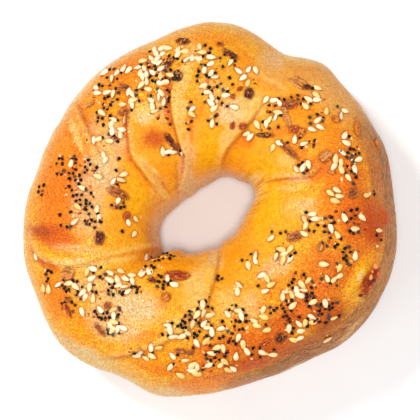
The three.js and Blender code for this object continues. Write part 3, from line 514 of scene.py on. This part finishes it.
def skin(turn, lift):
    """Points of the dough with all its relief, and what the paint needs to know of each."""
    points, outward = plain_skin(turn, lift)
    lean = SIGHT_LEAN * (points[:, 2] - WIDEST_HEIGHT)
    seen_x, seen_y = points[:, 0] - lean, points[:, 1] + lean
    top = smooth_step(3, 12, points[:, 2])
    relief, lip_highlight, crease_shade = fold_relief(seen_x, seen_y)
    for *oval, rise in BLISTERS:
        relief += rise * oval_share(seen_x, seen_y, *oval)
    for size, shift, rise in SWELLS:
        relief += rise * noise_at(points, size, shift)
    wrinkles = side_wrinkles(turn, lift) * side_share(turn, lift)
    pleat_rows = np.stack([turn / 2.1, lift / 45, 0 * turn], axis=-1)
    pleats = bell(turn, 16, 22) * smooth_step(125, 150, away_from(lift, 0)) * noise_at(pleat_rows, 1)
    relief += WRINKLE_HEIGHT * wrinkles + PLEAT_HEIGHT * pleats
    points = points + outward * (relief * top)[:, None]
    points[:, 2] = np.maximum(points[:, 2], 0)
    return points, (seen_x, seen_y, lip_highlight * top, crease_shade * top, wrinkles, pleats)


def crust_paint(points, turn, lift, marks):
    """Colour of the crust at each point, in linear light, with painted shade and highlight in it, and how
    flaky, barky and grainy it is.
    """
    x, y, lip_highlight, crease_shade, wrinkles, pleats = marks
    x = x + 0.9 * noise_at(points, 4, 20) + 0.5 * noise_at(points, 1.5, 60)
    y = y + 0.9 * noise_at(points, 4, 40) + 0.5 * noise_at(points, 1.5, 80)
    paints = {name: np.maximum(linear(colour) - GLOSS, 0.001) for name, colour in PAINTS.items()}
    colour = np.tile(paints["gold"], (len(points), 1))
    flaky = np.zeros(len(points))

    def lay(name, share):
        share = np.clip(share, 0, 1)
        colour[:] += (paints[name] - colour) * share[:, None]
        flaky[:] += (FLAKY.get(name, 0.0) - flaky) * share

    above = away_from(lift, 0)
    outer = above > -SIDE_END
    lay("tan", 0.3 * smooth_step(52, 14, above) * outer)
    for name, *oval, strength in STROKES:
        lay(name, strength / 100 * oval_share(x, y, *oval))
    # Painted shade in the creases of the folds, and painted highlight on their lips
    lay("rust", 0.75 * crease_shade)
    lay("sand", 0.5 * lip_highlight)
    # Painted highlight on the raised pleats by the hole, and painted shade between them
    lay("rust", -1.6 * pleats)
    lay("cream", 1.6 * pleats)

    # The outer side: paler at the left and bottom, partly as painted light, and brown at the right, partly as
    # painted shade
    rim = smooth_step(44, 12, above) * outer
    for name, strength, *arc in RIM_PAINTS:
        lay(name, strength * rim * bell(turn, *arc))
    # Browner skin, partly painted shade, in the darker band of the side at the right and lower right
    lay("dusk", 0.85 * side_band(x, y, lift, DUSK_WIDTH, []) * np.minimum(lobes_at(DUSK_LOBES, turn), 1))
    band = side_band(x, y, lift, BARK_WIDTH, BARK_LOBES)
    lay("bark", 0.9 * band * bell(turn, -14, 44))
    for name, *oval, strength in SIDE_STROKES:
        over = oval_share(x, y, *oval)
        lay(name, strength / 100 * over)
        band = band * (1 - 0.8 * over)
    # What lies below the part of the side that the photograph shows is even: bark at the right, else flank
    last_seen = -14 * direction(turn + CAMERA_SIDE)[0]
    below = smooth_step(-1, -18, above - last_seen) * outer
    barky = bell(turn, -28, 50)
    lay("bark", 0.85 * below * barky)
    lay("flank", 0.85 * below * (1 - barky))
    band = band + (0.3 + 0.7 * barky - band) * below
    # Painted highlight on the ridges of the side's wrinkles, and painted shade in their grooves
    lay("tan", 0.7 * band * np.clip(wrinkles - 0.2, 0, 1))
    lay("umber", 0.6 * band * np.clip(-wrinkles - 0.1, 0, 1))
    # The browned base, and the wall of the hole painted pale as painted light against its shade
    base = smooth_step(7, 1, points[:, 2])
    lay("tan", 0.8 * base)
    lay("brown", base * (0.35 + 0.4 * noise_at(points, 6, 50)))
    lay("blush", 0.55 * smooth_step(150, 180, np.abs(above)))
    # Least grain near the hole, at the upper right and low on the side
    reach = np.hypot(points[:, 0] - RING_CENTRE[0], points[:, 1] - RING_CENTRE[1])
    grainy = 0.35 + 0.65 * smooth_step(22, 36, reach + 4 * noise_at(points, 9, 70))
    grainy *= (1 - 0.65 * bell(turn, 52, 32)) * (1 - 0.6 * below)
    return colour, {"flaky": flaky, "bark": band, "grainy": grainy}


def placed(name, data):
    """A new object of the scene."""
    piece = bpy.data.objects.new(name, data)
    bpy.context.collection.objects.link(piece)
    return piece


def mesh_object(name, points, faces, material, colours=None, layers=()):
    """A smooth mesh piece in metres, with its colours and other values as attributes."""
    mesh = bpy.data.meshes.new(name)
    mesh.from_pydata((np.asarray(points) * MM).tolist(), [], faces)
    mesh.shade_smooth()
    if colours is not None:
        layer = mesh.color_attributes.new("paint", "FLOAT_COLOR", "POINT")
        values = np.ones((len(points), 4))
        values[:, :3] = colours
        layer.data.foreach_set("color", values.ravel())
    for title, numbers in dict(layers).items():
        layer = mesh.attributes.new(title, "FLOAT", "POINT")
        layer.data.foreach_set("value", np.asarray(numbers, float))
    mesh.materials.append(material)
    return placed(name, mesh)


class Nodes:
    """Short calls for building a material."""

    def __init__(self, name):
        self.material = bpy.data.materials.new(name)
        self.material.use_nodes = True
        self.tree = self.material.node_tree
        self.shader = self.tree.nodes["Principled BSDF"]

    def put(self, socket, value):
        if isinstance(value, bpy.types.NodeSocket):
            self.tree.links.new(value, socket)
        else:
            socket.default_value = value

    def add(self, kind, inputs, **settings):
        """The outputs of a new node that has these settings and inputs."""
        node = self.tree.nodes.new("ShaderNode" + kind)
        for key, value in settings.items():
            setattr(node, key, value)
        for key, value in inputs.items():
            self.put(node.inputs[key], value)
        return node.outputs

    def layer(self, title, output="Fac"):
        return self.add("Attribute", {}, attribute_name=title)[output]

    def paint(self):
        return self.layer("paint", "Color")

    def times(self, first, second):
        return self.add("Math", {0: first, 1: second}, operation="MULTIPLY")["Value"]

    def noise(self, size, detail, roughness=0.55):
        """Noise whose bumps are about that many millimetres."""
        inputs = {"Vector": self.add("TexCoord", {})["Object"], "Scale": 1 / (size * MM),
                  "Detail": detail, "Roughness": roughness}
        return self.add("TexNoise", inputs)["Fac"]

    def between(self, value, low, high, out_low=0.0, out_high=1.0):
        inputs = {"Value": value, "From Min": low, "From Max": high, "To Min": out_low, "To Max": out_high}
        return self.add("MapRange", inputs, interpolation_type="SMOOTHSTEP")["Result"]

    def spots(self, size, detail, roughness, *ends):
        """Spots where the noise lies between two ends, from one share to another."""
        return self.between(self.noise(size, detail, roughness), *ends)

    def mix(self, share, first, second, way="MIX"):
        inputs = {"Factor": share, "A": first, "B": second}
        return self.add("Mix", inputs, data_type="RGBA", blend_type=way, clamp_result=True)["Result"]

    def bump(self, height, distance, under=None):
        inputs = {"Height": height, "Distance": distance * MM, "Strength": 1.0}
        if under is not None:
            inputs["Normal"] = under
        return self.add("Bump", inputs)["Normal"]

    def surface(self, colour, roughness, specular=0.5, normal=None):
        """The material, once its shader has these."""
        inputs = self.shader.inputs
        self.put(inputs["Base Color"], colour)
        self.put(inputs["Roughness"], roughness)
        inputs["Specular IOR Level"].default_value = specular
        if normal is not None:
            self.put(inputs["Normal"], normal)
        return self.material


def rgba(colour):
    return (*linear(colour), 1.0)


def crust_material():
    """Baked crust: the paint of each place, mottled and grainy, flaky where it is pale with flakes that are
    partly painted sheen, and satin.
    """
    n = Nodes("crust")
    colour, grainy, flaky, bark = n.paint(), n.layer("grainy"), n.layer("flaky"), n.layer("bark")
    for *spots, tint, is_grain in MOTTLES:
        share = n.spots(*spots)
        if is_grain:
            share = n.times(share, grainy)
        colour = n.mix(share, colour, (*tint, 1), "MULTIPLY")
    # Pale flakes where the paint is pale: flaky crust, partly painted sheen
    flakes = n.times(n.spots(0.7, 5, 0.75, 0.49, 0.56), flaky)
    colour = n.mix(n.times(flakes, 0.85), colour, rgba((255, 236, 198)))
    grains = n.times(n.spots(0.55, 4, 0.7, 0.52, 0.6), flaky)
    colour = n.mix(n.times(grains, 0.6), colour, rgba((232, 132, 58)))

    # Bark on the outer side: lines that run along it, darker in their grooves and paler on their ridges as
    # painted shade and highlight
    place = {"X": n.times(n.layer("along"), 0.34), "Y": n.times(n.layer("across"), 1.3)}
    lines = n.add("TexNoise", {"Vector": n.add("CombineXYZ", place)["Vector"], "Scale": 1, "Detail": 5,
                               "Roughness": 0.7, "Distortion": 1.2})["Fac"]
    dark = n.times(n.between(lines, 0.38, 0.5, 0.85, 0), bark)
    light = n.times(n.between(lines, 0.54, 0.64, 0, 0.9), bark)
    colour = n.mix(dark, colour, rgba((146, 78, 40)))
    colour = n.mix(light, colour, rgba((250, 186, 122)))
    normal = n.bump(n.noise(0.8, 4, 0.65), 0.5)
    normal = n.bump(flakes, 0.1, normal)
    normal = n.bump(n.times(lines, bark), 2, normal)
    normal = n.bump(n.noise(2.4, 4), 0.5, normal)
    return n.surface(colour, n.spots(2, 4, 0.55, 0.3, 0.7, 0.22, 0.46), 0.2, normal)


def onion_material():
    """Dried onion: veined along the flake, scorched in some places and amber in others."""
    n = Nodes("onion")
    fibres = n.add("TexNoise", {"W": n.layer("grain"), "Scale": 3.4}, noise_dimensions="1D")["Fac"]
    veins = n.between(fibres, 0.52, 0.66, 0, 0.4)
    colour = n.mix(veins, n.paint(), (0.45, 0.3, 0.2, 1), "MULTIPLY")
    scorched = n.spots(1.3, 4, 0.7, 0.48, 0.62, 0, 0.85)
    colour = n.mix(scorched, colour, (0.3, 0.2, 0.16, 1), "MULTIPLY")
    colour = n.mix(n.spots(1.1, 3, 0.6, 0.54, 0.66, 0, 0.7), colour, rgba((240, 150, 70)))
    return n.surface(colour, 0.42, 0.25, n.bump(n.noise(0.7, 3), 0.3))


def shade_below(points, colour, resting):
    """Darkens the crust at the foot of each topping: painted shade, where light is scarce."""
    tree = KDTree(len(points))
    for i, point in enumerate(points.tolist()):
        tree.insert(point, i)
    tree.balance()
    dark = linear(PAINTS["umber"])
    for poses, half_lengths, half_widths, strength in resting:
        for middle, length, width, _, half_length, half_width in zip(*poses, half_lengths, half_widths):
            near = [i for _, i, _ in tree.find_range(middle, max(half_length, half_width) * SHADE_REACH)]
            off = points[near] - middle
            out = np.hypot(off @ length / half_length, off @ width / half_width)
            share = strength * smooth_step(SHADE_REACH, 1.0, out)
            colour[near] += (dark - colour[near]) * share[:, None]


def make_dough(resting):
    top = np.linspace(TOP_FROM, TOP_TO, TOP_ROWS, endpoint=False)
    base = np.linspace(TOP_TO, 360 + TOP_FROM, BASE_ROWS, endpoint=False)
    lifts = np.concatenate([top, base])
    rows = len(lifts)
    turn, lift = np.meshgrid(np.arange(TURNS) * 360 / TURNS, lifts, indexing="ij")
    turn, lift = turn.ravel(), lift.ravel()
    points, marks = skin(turn, lift)
    faces = []
    for i in range(TURNS):
        here, after = i * rows, (i + 1) % TURNS * rows
        for j in range(rows):
            k = (j + 1) % rows
            faces.append((here + j, after + j, after + k, here + k))
    colour, layers = crust_paint(points, turn, lift, marks)
    shade_below(points, colour, resting)
    layers |= {"along": away_from(turn, 0), "across": 0.4 * lift}
    return mesh_object("dough", points, faces, crust_material(), colour, layers)


def random_from(seed):
    """Random numbers between 0 and 1 that are the same each time."""
    state = seed
    while True:
        state = state * DRAW_FACTOR % DRAW_MODULUS
        yield state / DRAW_MODULUS


def under_sight(x, y):
    """Turn and lift of the dough that is seen at each x, y."""
    height = np.full(x.shape, HEIGHT - 4)
    for _ in range(SIGHT_ROUNDS):
        lean = SIGHT_LEAN * (height - WIDEST_HEIGHT)
        off_x = x + lean - RING_CENTRE[0]
        off_y = y - lean - RING_CENTRE[1]
        turn = np.degrees(np.arctan2(off_y, off_x)) % 360
        rim, hole = rim_radius(turn), hole_radius(turn)
        across = (np.hypot(off_x, off_y) - (rim + hole) / 2) / ((rim - hole) / 2)
        across = np.clip(across, -SIGHT_SHARE, SIGHT_SHARE)
        lift = np.degrees(np.arccos(signed_power(across, TOP_ROUNDNESS / 2)))
        up = np.sin(np.radians(lift)) ** (2 / TOP_ROUNDNESS)
        height = (height + WIDEST_HEIGHT + top_rise(turn) * up) / 2
    return turn, lift


def poses_on_dough(x, y, angle):
    """Places on the dough seen at x, y, with axes along an angle as seen, across it and outwards."""
    turn, lift = under_sight(np.asarray(x, float), np.asarray(y, float))
    step = 0.4
    middle = skin(turn, lift)[0]
    ahead = skin(turn + step, lift)[0] - skin(turn - step, lift)[0]
    over = skin(turn, lift + step)[0] - skin(turn, lift - step)[0]
    outward = np.cross(ahead, over)
    outward /= np.linalg.norm(outward, axis=1)[:, None]
    c, s = direction(np.asarray(angle, float))
    length = np.stack([c, s, 0 * c], axis=-1)
    width = np.cross(outward, length)
    width /= np.linalg.norm(width, axis=1)[:, None]
    length = np.cross(width, outward)
    return middle, length, width, outward


def in_patch(patch, angle, reach):
    middle_x, middle_y, half_width, half_height = patch[:4]
    return middle_x + half_width * reach * math.cos(angle), middle_y + half_height * reach * math.sin(angle)


def draw_place(patch, taken, gap, draw):
    """A place in a patch that stays clear of the seeds before it, where a few tries find one."""
    for _ in range(PLACE_TRIES):
        x, y = in_patch(patch, 2 * math.pi * next(draw), math.sqrt(next(draw)) * PLACE_REACH)
        if all(math.hypot(x - a, y - b) > (gap + other) / 2 for a, b, other in taken):
            break
    taken.append((x, y, gap))
    return x, y


def draw_seeds():
    """The sesame seeds as x, y, angle, size and the poppy seeds as x, y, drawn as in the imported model."""
    taken = [(x, y, width) for x, y, _, _, width, _, _ in FLAKES]
    sesame, poppy = [], []
    for number, patch in enumerate(SEED_PATCHES):
        draw = random_from(PATCH_DRAW * (number + 1))
        for _ in range(patch[4]):
            x, y = draw_place(patch, taken, SESAME_GAP, draw)
            sesame.append((x, y, 360 * next(draw), 0.88 + 0.24 * next(draw)))
        for _ in range(patch[5]):
            poppy.append(draw_place(patch, taken, POPPY_GAP, draw))
            next(draw)
    return np.array(sesame), np.array(poppy)


def ring_faces(around, rings):
    """Faces over rings of points, with a first and a last point that close them."""
    faces = [(0, 1 + j, 1 + (j + 1) % around) for j in range(around)]
    for near in range(1, 1 + (rings - 1) * around, around):
        for j in range(around):
            k = (j + 1) % around
            faces.append((near + j, near + around + j, near + around + k, near + k))
    last = 1 + (rings - 1) * around
    return faces + [(last + around, last + (j + 1) % around, last + j) for j in range(around)]


def globe(around, along):
    """Unit points and faces of a ball whose poles lie on its length."""
    points = [(1, 0, 0)]
    for i in range(1, along):
        polar = math.pi * i / along
        for j in range(around):
            turn = 2 * math.pi * j / around
            out = math.sin(polar)
            points.append((math.cos(polar), out * math.cos(turn), out * math.sin(turn)))
    points.append((-1, 0, 0))
    return np.array(points), ring_faces(around, along - 1)


def joined(name, shapes, faces, poses, material, colours, layers=()):
    """One piece of many shapes, each set on its pose."""
    middle, length, width, outward = poses
    points, all_faces = [], []
    for i, shape in enumerate(shapes):
        start = i * len(shape)
        points.append(middle[i] + shape @ np.stack([length[i], width[i], outward[i]]))
        all_faces += [tuple(start + corner for corner in face) for face in faces]
    return mesh_object(name, np.vstack(points), all_faces, material, np.vstack(colours), layers)


def make_sesame(rows, poses):
    """Flat oily drops that lie a little askew, ivory on top, some more toasted, and darker low round their
    edge as painted shade.
    """
    rng = np.random.default_rng(SESAME_DRAW)
    ball, faces = globe(12, 9)
    ivory, toasted, edge = map(linear, SESAME_PAINTS)
    tip = np.maximum(1 - np.maximum(ball[:, 0], 0) ** 2, 0) ** 0.25
    slim = (1.04 - SESAME_TAPER * ball[:, 0]) * tip
    shapes, colours = [], []
    for x, y, _, size in rows:
        shape = ball * (SESAME_LENGTH * 1.07, SESAME_WIDTH * 0.92, SESAME_THICK * 0.84) * size / 2
        shape[:, 1:] *= slim[:, None]
        shape[:, 2] += 0.1 * rng.uniform(-1, 1) * ball[:, 0]
        roll = rng.normal(0, 0.3)
        c, s = math.cos(roll), math.sin(roll)
        shape[:, 1:] = shape[:, 1:] @ np.array([[c, s], [-s, c]])
        shape[:, 2] -= rng.uniform(-0.3, 0.05)
        shapes.append(shape)
        colour = ivory + (toasted - ivory) * min(rng.beta(1.1, 1.7) + 0.3 * smooth_step(10, 70, x - y), 1)
        # Painted shade: each seed darker low round its edge
        low = smooth_step(0.6, 0.0, ball[:, 2]) * 0.9
        colours.append(colour + (edge - colour) * low[:, None])
    n = Nodes("sesame")
    stained = n.mix(n.spots(0.9, 3, 0.55, 0.45, 0.7, 0, 0.5), n.paint(), rgba((250, 206, 120)))
    material = n.surface(stained, 0.36, 0.4, n.bump(n.noise(0.5, 2), 0.07))
    return joined("sesame", shapes, faces, poses, material, colours)


def make_poppy(rows, poses):
    """Small kidneys, near black with some grey or brown ones, netted with fine grey ridges."""
    rng = np.random.default_rng(POPPY_DRAW)
    ball, faces = globe(8, 6)
    shapes, colours = [], []
    for _ in rows:
        width = POPPY_WIDTH * rng.uniform(0.8, 1.14)
        shape = ball * width / 2 * (1.08, 0.84, 0.8)
        shape[:, 1] += 0.2 * ball[:, 0] ** 2 * width / 2
        shape[:, 2] -= rng.uniform(-0.28, -0.04)
        shapes.append(shape)
        kind = linear(POPPY_PAINTS[rng.integers(len(POPPY_PAINTS))])
        colours.append(np.tile(kind * rng.uniform(0.7, 1.3), (len(shape), 1)))
    n = Nodes("poppy")
    netted = n.mix(n.spots(0.4, 2, 0.55, 0.54, 0.68, 0, 0.35), n.paint(), rgba((86, 88, 88)))
    material = n.surface(netted, 0.34, 0.14, n.bump(n.noise(0.3, 2), 0.14))
    return joined("poppy", shapes, faces, poses, material, colours)


def flake_shape(length, width, curl, rng):
    """A thin wrinkled plate with a ragged outline of a few straight sides."""
    turns = (np.arange(FLAKE_CORNERS) + rng.uniform(-0.3, 0.3, FLAKE_CORNERS)) * 2 * math.pi / FLAKE_CORNERS
    reach = rng.uniform(0.86, 1.24, FLAKE_CORNERS)
    reach *= (np.abs(np.cos(turns)) ** 4 + np.abs(np.sin(turns)) ** 4) ** -0.25
    place = np.arange(FLAKE_AROUND) / FLAKE_AROUND * FLAKE_CORNERS
    before = place.astype(int)
    share = place - before
    jag = 1 + rng.uniform(-0.07, 0.07, FLAKE_AROUND)
    sides = []
    for corners in (reach * np.cos(turns) * length / 2, reach * np.sin(turns) * width / 2):
        after = corners[(before + 1) % FLAKE_CORNERS]
        sides.append((corners[before] * (1 - share) + after * share) * jag)
    phase = rng.uniform(0, 2 * math.pi, 4)
    tops, unders = [], []
    for ring in range(1, FLAKE_RINGS + 1):
        out = ring / FLAKE_RINGS
        x, y = out * sides[0], out * sides[1]
        rise = FLAKE_TOP * (0.6 + 0.5 * curl * (x * 2 / length) ** 2 + 0.25 * out ** 4)
        rise = rise + 0.14 * np.sin(5.4 * y + 0.8 * np.sin(1.6 * x + phase[0]) + phase[1])
        rise = rise + 0.12 * np.sin(2.3 * x + phase[2]) + 0.1 * out * np.sin(3 * y + phase[3])
        edge = 1 if ring < FLAKE_RINGS else 0.7
        tops.append(np.stack([x, y, rise * edge], axis=-1))
        unders.append(np.stack([x * 0.94, y * 0.94, -0.5 + 0 * x], axis=-1))
    return np.vstack([[[0, 0, FLAKE_TOP * 0.6]], *tops, *unders[::-1], [[0, 0, -0.5]]])


def make_flakes(poses):
    """Shards of onion and crust, striped along their length, with a paler or burnt edge."""
    rng = np.random.default_rng(FLAKE_DRAW)
    shapes, colours, grain = [], [], []
    for *_, length, width, kind, curl in FLAKES:
        shape = flake_shape(length, width, curl, rng)
        colour, stripe, edge = map(linear, FLAKE_PAINTS[kind])
        x, y = shape[:, 0], shape[:, 1]
        striped = 0.5 + 0.5 * np.sin(6.2 * y + 0.9 * np.sin(1.4 * x + rng.uniform(0, 6)) + rng.uniform(0, 6))
        out = np.maximum(np.abs(x) * 2 / length, np.abs(y) * 2 / width)
        paint = colour + (stripe - colour) * (0.75 * striped ** 2)[:, None]
        paint = paint + (edge - paint) * (0.8 * smooth_step(0.7, 1.0, out))[:, None]
        shapes.append(shape)
        colours.append(paint)
        grain.append(y + 40 * rng.uniform())
    faces, layers = ring_faces(FLAKE_AROUND, 2 * FLAKE_RINGS), {"grain": np.concatenate(grain)}
    return joined("onion_flakes", shapes, faces, poses, onion_material(), colours, layers)


def make_crumbs():
    """Matt granules of crust and dried garlic between the seeds, and knobs in the open blister."""
    rng = np.random.default_rng(CRUMB_DRAW)
    ball, faces = globe(6, 4)
    spots = []
    for patch in SEED_PATCHES:
        for _ in range(round(CRUMB_SHARE * (patch[4] + patch[5]))):
            place = in_patch(patch, rng.uniform(0, 2 * math.pi), CRUMB_REACH * math.sqrt(rng.uniform()))
            spots.append((*place, rng.uniform(0, 360)))
    shapes, colours = [], []
    for number in range(len(spots) + len(KNOBS)):
        width, paints = (CRUMB_WIDTH, CRUMB_PAINTS) if number < len(spots) else (KNOB_WIDTH, KNOB_PAINTS)
        grain = ball * rng.uniform(0.7, 1.25, (len(ball), 1))
        shapes.append(grain * width / 2 * rng.uniform(0.5, 1.3) * (1.2, 0.9, 0.8))
        colours.append(np.tile(linear(paints[rng.integers(len(paints))]), (len(ball), 1)))
    spots += [(x, y, 31 * x) for x, y in KNOBS]
    poses = poses_on_dough(*np.array(spots).T)
    n = Nodes("crumbs")
    material = n.surface(n.paint(), 0.5, 0.3, n.bump(n.noise(0.4, 2), 0.1))
    return joined("crumbs", shapes, faces, poses, material, colours)


def make_floor():
    corners = [(x * FLOOR_HALF, y * FLOOR_HALF, 0) for x, y in ((-1, -1), (1, -1), (1, 1), (-1, 1))]
    n = Nodes("floor")
    shade = n.mix(n.spots(60, 2, 0.55, 0.3, 0.7), rgba((250, 250, 250)), rgba((246, 246, 247)))
    floor = mesh_object("floor", corners, [(0, 1, 2, 3)], n.surface(shade, 0.6))


def make_lights():
    """Square lamps that face the bagel, and an even light all round."""
    for name, place, size, power, colour in LIGHTS:
        lamp = bpy.data.lights.new(name, "AREA")
        lamp.size, lamp.energy, lamp.color = size, power, colour
        holder = placed(name, lamp)
        holder.location = place
        holder.rotation_mode = "QUATERNION"
        holder.rotation_quaternion = (-Vector(place)).to_track_quat("-Z", "Y")
    world = bpy.data.worlds.new("studio")
    world.use_nodes = True
    background = world.node_tree.nodes["Background"]
    background.inputs["Color"].default_value = (1, 1, 1, 1)
    background.inputs["Strength"].default_value = WORLD_LIGHT
    bpy.context.scene.world = world
    bpy.context.scene.view_settings.view_transform = "Standard"
    bpy.context.scene.view_settings.look = "None"


def make_camera():
    (front, aside), (level, rise) = direction(CAMERA_SIDE), direction(CAMERA_RISE)
    back = Vector((aside * level, -front * level, rise))
    up = Vector((0, 1, 0))
    up = (up - up.dot(back) * back).normalized()
    right = up.cross(back)
    distance = PICTURE_WIDTH * CAMERA_LENS / SENSOR * MM
    lens = bpy.data.cameras.new("camera")
    lens.lens = CAMERA_LENS
    lens.sensor_width = SENSOR
    camera = placed("camera", lens)
    turned = Matrix((right, up, back)).transposed()
    camera.matrix_world = Matrix.Translation(Vector(LOOK_AT) * MM + back * distance) @ turned.to_4x4()
    bpy.context.scene.camera = camera


make_camera()
sesame_rows, poppy_rows = draw_seeds()
sesame_poses = poses_on_dough(*sesame_rows[:, :3].T)
poppy_poses = poses_on_dough(*poppy_rows.T, poppy_rows[:, 0] * 97)
flake_rows = np.array([row[:5] for row in FLAKES])
flake_poses = poses_on_dough(*flake_rows[:, :3].T)
half_sizes = sesame_rows[:, 3] / 2
poppy_feet = np.full(len(poppy_rows), POPPY_FOOT)
# Toppings, and how far and how dark the painted shade at their feet is
resting = [
    (flake_poses, flake_rows[:, 3] / 2, flake_rows[:, 4] / 2, FLAKE_SHADE),
    (sesame_poses, half_sizes * SESAME_LENGTH, half_sizes * SESAME_WIDTH, SESAME_SHADE),
    (poppy_poses, poppy_feet, poppy_feet, POPPY_SHADE),
]
dressed = [
    (make_dough(resting), "crust"),
    (make_sesame(sesame_rows, sesame_poses), "sesame"),
    (make_poppy(poppy_rows, poppy_poses), "poppy"),
    (make_flakes(flake_poses), "onion"),
    (make_crumbs(), "onion"),
]
for piece, finish in dressed:
    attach(piece, "root")
    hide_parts("bagel")
make_floor()
make_lights()
